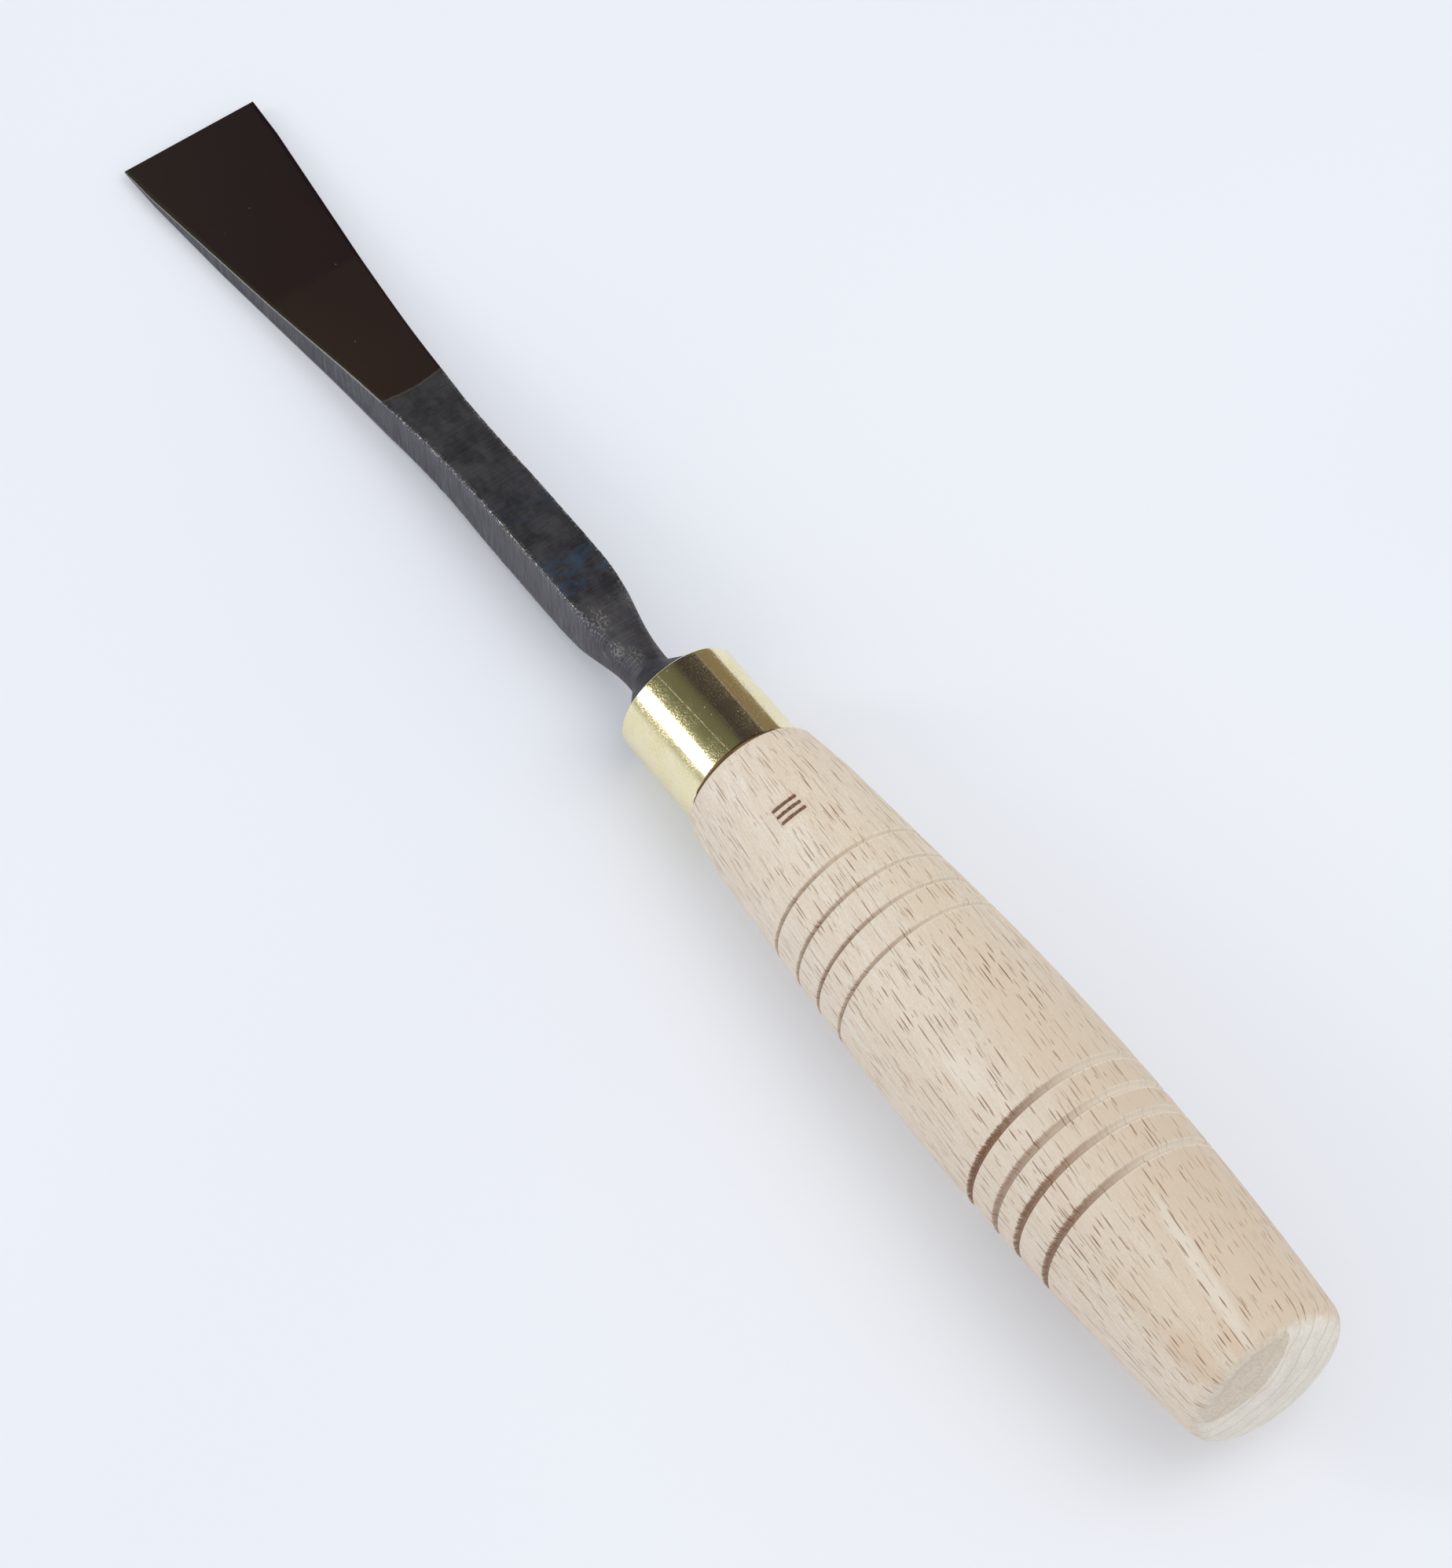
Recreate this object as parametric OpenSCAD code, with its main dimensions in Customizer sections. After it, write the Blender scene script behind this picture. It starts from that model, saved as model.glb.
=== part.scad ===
// Flared wood-carving chisel: steel blade, brass ferrule and turned beech handle.
// The tool lies along X with its edge at +X and the blade's flat face up (+Z).
// The origin is on the tool's axis at mid-length. Units are millimetres.

/* [Blade] */
// Length of the blade from the ferrule's mouth to the cutting edge
blade_len = 138; // [115:1:170]
// Width of the cutting edge
edge_w = 25; // [20:0.5:32]
// Thickness left at the cutting edge
edge_t = 0.4; // [0.2:0.1:1]
// Length of the nearly parallel stretch behind the edge
tip_len = 8; // [4:0.5:12]
// Width of the blade where that stretch begins
tip_w = 24; // [19:0.5:30]
// Angle of each of the flare's straight sides
flare_angle = 6.6; // [4.5:0.1:8]
// Radius that leads from the shank's sides into the flare
flare_r = 350; // [200:10:420]
// Height of the level flat face above the tool's axis
flat_z = 0.35; // [0:0.05:1.5]
// Length of the level flat face behind the edge
flat_len = 37; // [30:1:44]
// Length of the bevel under the edge
bevel_len = 25; // [12:1:30]
// Depth of the underside below the axis where the bevel begins
bevel_depth = 3.3; // [2:0.1:4.5]

/* [Shank] */
// Width of the forged shank
shank_w = 9.8; // [8:0.1:12]
// Height of the shank's upper face above the axis
shank_top = 4.4; // [3.5:0.1:6]
// Depth of the shank's lower face below the axis
shank_bottom = 6.5; // [4:0.1:8]
// Distance from the ferrule's mouth to the shank's full section
shank_start = 26; // [20:0.5:32]
// Distance from the ferrule's mouth to the front of the level shank
shank_end = 44; // [36:0.5:50]
// Depth of the underside in the waist in front of the shank
waist_depth = 5.7; // [4:0.1:7]
// Distance from the ferrule's mouth to the rear of the waist
waist_start = 56; // [52:0.5:62]
// Distance from the ferrule's mouth to the front of the waist
waist_end = 76; // [64:0.5:82]
// Diameter of the round neck behind the shank
neck_d = 7.9; // [6:0.1:9]
// Distance from the ferrule's mouth to the front of the round neck
neck_len = 10; // [8:0.5:16]

/* [Bolster and tang] */
// Diameter of the bolster disc
bolster_d = 18.4; // [14:0.1:19]
// Thickness of the bolster disc
bolster_t = 2; // [1.2:0.1:4]
// How far the disc stands out of the ferrule's mouth
bolster_proud = 0.5; // [0.2:0.1:1]
// Length of the cone from the bolster's face down to the neck
cone_len = 5; // [3:0.5:7]
// Length of the tang behind the bolster
tang_len = 72; // [50:1:90]
// Width of the square tang at the bolster
tang_root_w = 7; // [5:0.1:8.4]
// Width of the square tang at its tip
tang_tip_w = 3.4; // [2:0.1:4.5]

/* [Ferrule] */
// Outer diameter of the ferrule
ferrule_od = 21.2; // [21:0.1:24]
// Wall of the ferrule
ferrule_wall = 0.9; // [0.6:0.05:1.1]
// Length of the ferrule
ferrule_len = 19; // [14:0.5:26]
// Bevel on both rims of the ferrule
ferrule_bevel = 0.3; // [0.1:0.05:0.4]
// Radial clearance between the ferrule and its seat
ferrule_fit = 0.02; // [0.01:0.01:0.05]

/* [Handle] */
// Length of the wood behind the ferrule
handle_len = 130; // [108:1:160]
// Largest diameter of the handle
belly_d = 32.2; // [29:0.1:38]
// Distance from the ferrule to the largest diameter
belly_at = 73.5; // [60:0.5:84]
// Length of the steeper nose behind the ferrule
nose_len = 10; // [6:0.5:16]
// Rounding of the nose's front corner, which starts flush with the ferrule
nose_round = 1; // [0.5:0.1:1.5]
// Angle of the straight taper behind the nose
taper_angle = 4; // [3:0.25:5]
// Radius of the profile in front of the belly
front_r = 500; // [300:10:700]
// Radius of the profile behind the belly
rear_r = 600; // [450:10:900]
// Rounding between the barrel and the butt
butt_round = 3.7; // [2:0.1:6]
// How far the butt's shallow dome stands out past that rounding
butt_dome = 1.3; // [0.5:0.1:3]
// Radial clearance round the tang's corners
tang_fit = 0.1; // [0.05:0.05:0.3]
// Depth of the tang's bore beyond the tang's tip
bore_spare = 2; // [0.5:0.5:5]

/* [Grooves and butt flat] */
// Distances of the front set of grooves behind the ferrule
front_grooves = [26.3, 32.3, 38, 43.8];
// Distances of the rear set of grooves behind the ferrule
rear_grooves = [77.4, 83.4, 88.5, 95.1];
// Diameter of a front groove's round section
front_groove_d = 0.9; // [0.6:0.1:1.4]
// Diameter of a rear groove's round section
rear_groove_d = 1.3; // [0.8:0.1:1.6]
// Depth of every groove
groove_depth = 0.7; // [0.4:0.05:1]
// Lean of the small sanded flat from square to the axis
flat_lean = 14; // [10:1:30]
// Turn of the sanded flat about the axis, from the top towards +Y
flat_turn = 40; // [0:1:90]
// Thickness of wood that the sanded flat takes off the butt
flat_cut = 0.6; // [0.4:0.1:2]

/* [Hidden] */
$fn = 96;

// Stations along the axis count from the ferrule's mouth; the wood lies at negative stations.
overall_len = blade_len + ferrule_len + handle_len;
mouth_x = overall_len / 2 - blade_len;
long_step = 2;     // spacing of computed points along the long curves
round_steps = 12;  // computed points round a small corner
fall_steps = 10;   // computed points down the upper face's slope
bore_steps = 3;    // diameters drilled for the tang
over = 1;          // how far a cutter runs past what it cuts
block = 60;        // side of the block that makes the sanded flat

// Blade in plan: shank, arc, straight flare, and the stretch behind the edge.
tip_start = blade_len - tip_len;
arc_rise = flare_r * (1 - cos(flare_angle));
straight_start = tip_start - ((tip_w - shank_w) / 2 - arc_rise) / tan(flare_angle);
flare_start = straight_start - flare_r * sin(flare_angle);
slope_end = blade_len - flat_len;
neck_sink = 0.4;                 // how far the forging's square end stays inside the round neck
neck_side = neck_d / sqrt(2) - neck_sink;
neck_overlap = 4;                // length of round neck that the forging's square end runs into
neck_square = neck_len - neck_overlap;

// Bolster, ferrule and seat.
seat_x = bolster_proud - bolster_t;
ferrule_r = ferrule_od / 2;
ferrule_bore_r = ferrule_r - ferrule_wall;
tenon_r = ferrule_bore_r - ferrule_fit;

// Handle profile. The butt is a corner arc that runs into a spherical dome.
belly_r = belly_d / 2;
nose_r = ferrule_r + nose_round;
corner_at = handle_len - butt_dome - butt_round;
corner_r = barrel_r(corner_at) - butt_round;
corner_rise = butt_dome + butt_round;
dome_r = (corner_rise * corner_rise + corner_r * corner_r - butt_round * butt_round) / (2 * butt_dome);
dome_half_angle = asin(corner_r / (dome_r - butt_round));
flat_reach = corner_at * cos(flat_lean) + corner_r * sin(flat_lean) + butt_round - flat_cut;

// Half width of the blade at station x.
function blade_half(x) =
    x < flare_start ? shank_w / 2
    : x < straight_start ? shank_w / 2 + flare_r - sqrt(pow(flare_r, 2) - pow(x - flare_start, 2))
    : shank_w / 2 + arc_rise + (x - straight_start) * tan(flare_angle);

// Height of the upper face at t of its fall from shank to flat, eased at both ends.
function fall(t) = 0.6 * t + 0.4 * t * t * (3 - 2 * t);
function upper_z(t) = shank_top + (flat_z - shank_top) * fall(t);

// Radius of the barrel at distance u behind the ferrule: nose, straight taper, belly and rear.
function front_drop(d, run = front_r * sin(taper_angle)) =
    d < run ? front_r - sqrt(front_r * front_r - d * d)
    : front_r * (1 - cos(taper_angle)) + (d - run) * tan(taper_angle);
function rear_drop(d) = rear_r - sqrt(rear_r * rear_r - d * d);
function taper_r(u) = belly_r - front_drop(belly_at - u);
function barrel_r(u) =
    u > belly_at ? belly_r - rear_drop(u - belly_at)
    : u > nose_len ? taper_r(u)
    : nose_r + (taper_r(nose_len) - nose_r) * u / nose_len;

// Half side of the tang's square at distance s behind the bolster.
function tang_half(s) = (tang_root_w + (tang_tip_w - tang_root_w) * s / tang_len) / 2;

function mirrored(points) =
    concat(points, [for (i = [len(points) - 1 : -1 : 0]) [points[i].x, -points[i].y]]);

// Turns a profile of [radius, station] about the tool's axis.
module turned() {
    rotate([0, 90, 0]) rotate_extrude() children();
}

// Extrudes a side view, drawn as [station, height], to both sides of the axis.
module side_view(width) {
    rotate([90, 0, 0]) linear_extrude(width, center = true) children();
}

module blade_plan() {
    sides = concat(
        [[neck_square, neck_side / 2], [shank_start, shank_w / 2]],
        [for (x = [max(flare_start, shank_start + 1) : long_step : straight_start]) [x, blade_half(x)]],
        [[tip_start, tip_w / 2], [blade_len, edge_w / 2]]
    );
    linear_extrude(4 * shank_bottom, center = true) polygon(mirrored(sides));
}

module blade_side() {
    upper = concat(
        [[neck_square, neck_side / 2], [shank_start, shank_top], [shank_end, shank_top]],
        [for (i = [1 : fall_steps - 1]) let (t = i / fall_steps)
            [shank_end + t * (slope_end - shank_end), upper_z(t)]],
        [[slope_end, flat_z], [blade_len, flat_z]]
    );
    lower = [
        [blade_len, flat_z - edge_t],
        [blade_len - bevel_len, -bevel_depth],
        [waist_end, -waist_depth],
        [waist_start, -waist_depth],
        [shank_end, -shank_bottom],
        [shank_start, -shank_bottom],
        [neck_square, -neck_side / 2]
    ];
    side_view(2 * edge_w) polygon(concat(upper, lower));
}

// Bolster disc, its cone and the round neck, as one turned shape.
module bolster() {
    turned() polygon([
        [0, seat_x],
        [bolster_d / 2, seat_x],
        [bolster_d / 2, bolster_proud],
        [neck_d / 2, bolster_proud + cone_len],
        [neck_d / 2, neck_len],
        [0, neck_len]
    ]);
}

module tang() {
    taper = [[seat_x + over, tang_half(-over)], [seat_x - tang_len, tang_half(tang_len)]];
    intersection() {
        linear_extrude(tang_root_w + over, center = true) polygon(mirrored(taper));
        side_view(tang_root_w + over) polygon(mirrored(taper));
    }
}

module blade() {
    color([0.25, 0.25, 0.27]) translate([mouth_x, 0, 0]) {
        intersection() {
            blade_plan();
            blade_side();
        }
        bolster();
        tang();
    }
}

module ferrule() {
    inner = ferrule_r - ferrule_bevel;
    color([0.78, 0.66, 0.36]) translate([mouth_x, 0, 0]) turned() polygon([
        [ferrule_bore_r, 0],
        [inner, 0],
        [ferrule_r, -ferrule_bevel],
        [ferrule_r, ferrule_bevel - ferrule_len],
        [inner, -ferrule_len],
        [ferrule_bore_r, -ferrule_len]
    ]);
}

module handle_body() {
    nose = [for (i = [0 : round_steps]) let (a = 90 * i / round_steps) [
        nose_r - nose_round * (1 - sin(a)),
        -ferrule_len - nose_round * (1 - cos(a))
    ]];
    barrel = [for (u = [2 * nose_round : long_step : corner_at - 1]) [barrel_r(u), -ferrule_len - u]];
    corner = [for (i = [0 : round_steps]) let (a = (90 - dome_half_angle) * i / round_steps) [
        corner_r + butt_round * cos(a),
        -ferrule_len - corner_at - butt_round * sin(a)
    ]];
    dome = [for (i = [1 : round_steps]) let (a = dome_half_angle * (1 - i / round_steps)) [
        dome_r * sin(a),
        -ferrule_len - handle_len + dome_r * (1 - cos(a))
    ]];
    turned() polygon(concat([[0, seat_x], [tenon_r, seat_x], [tenon_r, -ferrule_len]], nose, barrel, corner, dome));
}

// One round-bottomed groove at distance u behind the ferrule.
module groove(u, d) {
    turned() translate([barrel_r(u) - groove_depth + d / 2, -ferrule_len - u]) circle(d = d, $fn = 32);
}

// Stepped bore: each drilled length clears the tang's corners at its own front end.
module tang_bore() {
    length = tang_len / bore_steps;
    for (i = [0 : bore_steps - 1]) {
        front = i == 0 ? over : 0;
        back = i == bore_steps - 1 ? bore_spare : 0;
        translate([seat_x - (i + 1) * length - back, 0, 0]) rotate([0, 90, 0])
            cylinder(h = length + front + back, r = tang_half(i * length) * sqrt(2) + tang_fit);
    }
}

// Block whose front face is the small flat sanded on the butt's corner.
module butt_flat() {
    rotate([-flat_turn, 0, 0]) rotate([0, flat_lean, 0])
        translate([-ferrule_len * cos(flat_lean) - flat_reach - block, -block / 2, -block / 2]) cube(block);
}

module handle() {
    color([0.83, 0.72, 0.59]) translate([mouth_x, 0, 0]) difference() {
        handle_body();
        tang_bore();
        for (u = front_grooves) groove(u, front_groove_d);
        for (u = rear_grooves) groove(u, rear_groove_d);
        butt_flat();
    }
}

blade();
ferrule();
handle();
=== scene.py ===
"""Looks of a flared wood-carving chisel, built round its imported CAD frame.

The tool lies along X with its cutting edge at +X and the blade's flat face up.
Blender works in metres. The outline functions here work in millimetres, and
"station" means the distance from the ferrule's mouth, positive towards the edge.
"""
import math

import bpy
import bmesh
import numpy as np
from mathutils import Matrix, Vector


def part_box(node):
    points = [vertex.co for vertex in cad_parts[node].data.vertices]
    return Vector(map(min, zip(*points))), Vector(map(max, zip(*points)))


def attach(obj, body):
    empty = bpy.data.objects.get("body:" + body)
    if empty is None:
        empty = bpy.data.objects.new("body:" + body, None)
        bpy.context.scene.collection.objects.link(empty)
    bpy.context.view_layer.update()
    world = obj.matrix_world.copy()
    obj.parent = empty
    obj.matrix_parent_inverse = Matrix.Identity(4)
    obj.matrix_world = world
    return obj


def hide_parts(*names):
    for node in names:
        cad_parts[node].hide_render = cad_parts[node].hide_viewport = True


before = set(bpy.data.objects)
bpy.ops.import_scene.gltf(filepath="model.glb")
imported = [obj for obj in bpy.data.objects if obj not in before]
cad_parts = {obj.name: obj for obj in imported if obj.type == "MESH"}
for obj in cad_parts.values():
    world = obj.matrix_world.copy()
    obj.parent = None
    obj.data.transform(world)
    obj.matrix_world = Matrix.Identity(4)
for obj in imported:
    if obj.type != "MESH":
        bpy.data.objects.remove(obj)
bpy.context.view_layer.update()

MM = 0.001

# ---------------------------------------------------------------- sizes from the frame
BLADE_LOW, BLADE_HIGH = (np.array(c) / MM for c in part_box("blade"))
FERRULE_LOW, FERRULE_HIGH = (np.array(c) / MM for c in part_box("ferrule"))
HANDLE_LOW, HANDLE_HIGH = (np.array(c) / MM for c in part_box("handle"))

MOUTH = FERRULE_HIGH[0]
BLADE_LEN = BLADE_HIGH[0] - MOUTH
FERRULE_LEN = FERRULE_HIGH[0] - FERRULE_LOW[0]
FERRULE_R = FERRULE_HIGH[2]
HANDLE_LEN = FERRULE_LOW[0] - HANDLE_LOW[0]
BELLY_R = HANDLE_HIGH[2]
EDGE_HALF = BLADE_HIGH[1]
BOLSTER_R = -BLADE_LOW[2]
SEAT = HANDLE_HIGH[0] - MOUTH
TANG_LEN = MOUTH + SEAT - BLADE_LOW[0]

# ---------------------------------------------------------------- blade, in millimetres
EDGE_T = 0.4
TIP_LEN = 8.0
TIP_HALF = 12.0
FLARE_ANGLE = math.radians(6.6)
FLARE_R = 350.0
FLAT_Z = 0.35
FLAT_LEN = 37.0
BEVEL_LEN = 25.0
BEVEL_DEPTH = 3.3
SHANK_HALF = 4.9
SHANK_TOP = 4.4
SHANK_BOTTOM = 6.5
SHANK_START = 26.0
SHANK_END = 44.0
WAIST_DEPTH = 5.7
WAIST_START = 56.0
WAIST_END = 76.0
NECK_R = 3.9
NECK_AT = 7.0
NECK_DROP = 1.0
NECK_SIDE = 0.50
BOLSTER_PROUD = 0.5
CONE_END = 6.1
CONE_SOFT = 0.5
TANG_ROOT_HALF = 3.5
TANG_TIP_HALF = 1.7
POLISH_AT = 72.3
GROUND_START = 62.0
GROUND_END = 74.0

# ---------------------------------------------------------------- ferrule and handle
FERRULE_WALL = 0.9
FRONT_RIM = 0.25
REAR_RIM = 0.55
NOSE_LEN = 10.0
NOSE_ROUND = 1.0
NOSE_R = FERRULE_R + NOSE_ROUND
BELLY_AT = 73.5
TAPER = math.radians(4.0)
FRONT_R = 500.0
REAR_R = 600.0
BUTT_ROUND = 3.7
BUTT_DOME = 1.3
TANG_FIT = 0.1
SEAT_GAP = 0.02
BORE_SPARE = 2.0
FRONT_GROOVES = (26.3, 32.3, 38.0, 43.8)
REAR_GROOVES = (77.4, 83.4, 88.5, 95.1)
FRONT_GROOVE_R = 0.34
REAR_GROOVE_R = 0.65
GROOVE_DEPTH = 0.7
GROOVE_SPAN = 1.1
FLAT_LEAN = math.radians(28.0)
FLAT_TURN = math.radians(38.0)
FLAT_CUT = 1.86
FLAT_KEEP = 0.35
CRISP_SLOPE = 25.0
TALLY_X = -28.0
TALLY_TURN = math.radians(13.6)
TALLY_LEN = 4.8
TALLY_W = 0.6
TALLY_GAP = 1.3
TALLY_DEPTH = 0.18
TALLY_STROKES = (-1, 0, 1)
TALLY_SPAN = 2.4
TWIST = 0.0062
PITH_TURN = math.radians(-6.0)
PITH_R = 38.0
RING_W = 3.1
FRONT_TORN_SHADE = (0.35, 0.40, 0.55, 0.35)
REAR_TORN_SHADE = (1.0, 0.60, 0.90, 0.88)
TALLY_R = 13.7

# Blemishes: X, turn from +Z in degrees, half length, half width in degrees,
# drift in degrees per millimetre, strength and colour. Lengths are in millimetres.
PALE_WOOD_AND_LIGHT = (0.895, 0.835, 0.720, 1.0)
BROWN_WOOD = (0.690, 0.520, 0.370, 1.0)
BLEMISHES = (
    (-128.0, 10.5, 15.0, 5.0, -0.52, 0.35, PALE_WOOD_AND_LIGHT),
    (-136.0, 47.0, 6.0, 9.0, 0.0, 0.55, BROWN_WOOD),
    (-138.0, 24.0, 4.5, 3.5, -0.5, 0.60, BROWN_WOOD),
    (-120.0, 42.0, 26.0, 16.0, -0.3, 0.26, BROWN_WOOD),
    (-80.0, 37.0, 5.0, 7.0, 0.0, 0.30, PALE_WOOD_AND_LIGHT),
)

# ---------------------------------------------------------------- floor, studio and fineness
FLOOR_GAP = 0.1
FLOOR_BEND = 40.0
FLOOR_TURN = 1.25  # the share of its slope that it turns by
FLOOR_FAR = 2500.0
STUDIO_R = 1.6
FAR_OFF = 99.0
AROUND = 384
SIDE_POINTS = 14
FACE_POINTS = 30
CORNER_POINTS = 6


# ---------------------------------------------------------------- mesh helpers
def smoothstep(low, high, value):
    t = np.clip((np.asarray(value, float) - low) / (high - low), 0.0, 1.0)
    return t * t * (3.0 - 2.0 * t)


def wander(values, scale, seed, octaves=3):
    """Smooth seeded noise in -1..1 along one coordinate."""
    rng = np.random.default_rng(seed)
    total = np.zeros_like(np.asarray(values, float))
    for octave in range(octaves):
        knots = rng.uniform(-1.0, 1.0, 4096)
        place = np.asarray(values, float) / scale * 2**octave + 2048.0
        low = np.floor(place).astype(int) % 4095
        t = place - np.floor(place)
        t = t * t * (3.0 - 2.0 * t)
        total += (knots[low] * (1.0 - t) + knots[low + 1] * t) / 2**octave
    return total / 1.75


def ring_bmesh(rings, loop=False):
    """Makes a mesh from rings of points in millimetres, shaped (ring, point, xyz).

    Open ends are closed with a fan; with loop the last ring joins the first.
    """
    count, around = rings.shape[:2]
    points = rings.reshape(-1, 3)
    index = np.arange(count * around).reshape(count, around)
    after = np.roll(index, -1, axis=1)
    last = count if loop else count - 1
    high, high_after = np.roll(index, -1, axis=0)[:last], np.roll(after, -1, axis=0)[:last]
    low, low_after = index[:last], after[:last]
    faces = np.stack([low, low_after, high_after, high], axis=-1).reshape(-1, 4).tolist()
    if not loop:
        for ring, flip in ((0, True), (count - 1, False)):
            centre = len(points)
            points = np.vstack([points, rings[ring].mean(axis=0)])
            pairs = zip(index[ring].tolist(), after[ring].tolist())
            faces += [(centre, b, a) if flip else (centre, a, b) for a, b in pairs]
    mesh = bpy.data.meshes.new("rings")
    mesh.from_pydata((points * MM).tolist(), [], faces)
    build = bmesh.new()
    build.from_mesh(mesh)
    bpy.data.meshes.remove(mesh)
    bmesh.ops.recalc_face_normals(build, faces=build.faces)
    return build


def make_piece(name, build, crease):
    """Turns the mesh into a smooth-shaded object whose edges sharper than crease stay sharp."""
    sharp = [not edge.smooth for edge in build.edges]
    mesh = bpy.data.meshes.new(name)
    build.to_mesh(mesh)
    build.free()
    mesh.shade_smooth()
    mesh.set_sharp_from_angle(angle=math.radians(crease))
    layer = mesh.attributes.get("sharp_edge")
    if layer is None:
        layer = mesh.attributes.new("sharp_edge", "BOOLEAN", "EDGE")
    marks = np.zeros(len(mesh.edges), dtype=bool)
    layer.data.foreach_get("value", marks)
    layer.data.foreach_set("value", marks | np.array(sharp))
    piece = bpy.data.objects.new(name, mesh)
    bpy.context.scene.collection.objects.link(piece)
    return piece


def turned_rings(profile, around):
    """Rings of a shape turned about X, from a profile of (x, radius) in millimetres."""
    angle = np.linspace(0.0, 2.0 * math.pi, around, endpoint=False)
    x, radius = np.asarray(profile, float).T
    return np.stack(
        [
            np.repeat(x[:, None], around, axis=1),
            radius[:, None] * np.sin(angle),
            radius[:, None] * np.cos(angle),
        ],
        axis=-1,
    )


def grid_faces(rows, count):
    """Quads between neighbouring rows of points, with count points in each row."""
    return [
        (a, a + count, a + count + 1, a + 1)
        for row in range(rows - 1)
        for a in range(row * count, row * count + count - 1)
    ]


def arc(centre, radius, start, end, steps):
    """Points (x, r) on an arc; angles in degrees, 0 along +x and 90 outwards."""
    turn = np.radians(np.linspace(start, end, steps + 1))
    return [(centre[0] + radius * math.cos(a), centre[1] + radius * math.sin(a)) for a in turn]


def store(mesh, name, values):
    """Keeps one number per vertex for the material to read."""
    layer = mesh.attributes.new(name, "FLOAT", "POINT")
    full = np.zeros(len(mesh.vertices), dtype=np.float32)
    full[: len(values)] = values
    layer.data.foreach_set("value", full)


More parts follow.
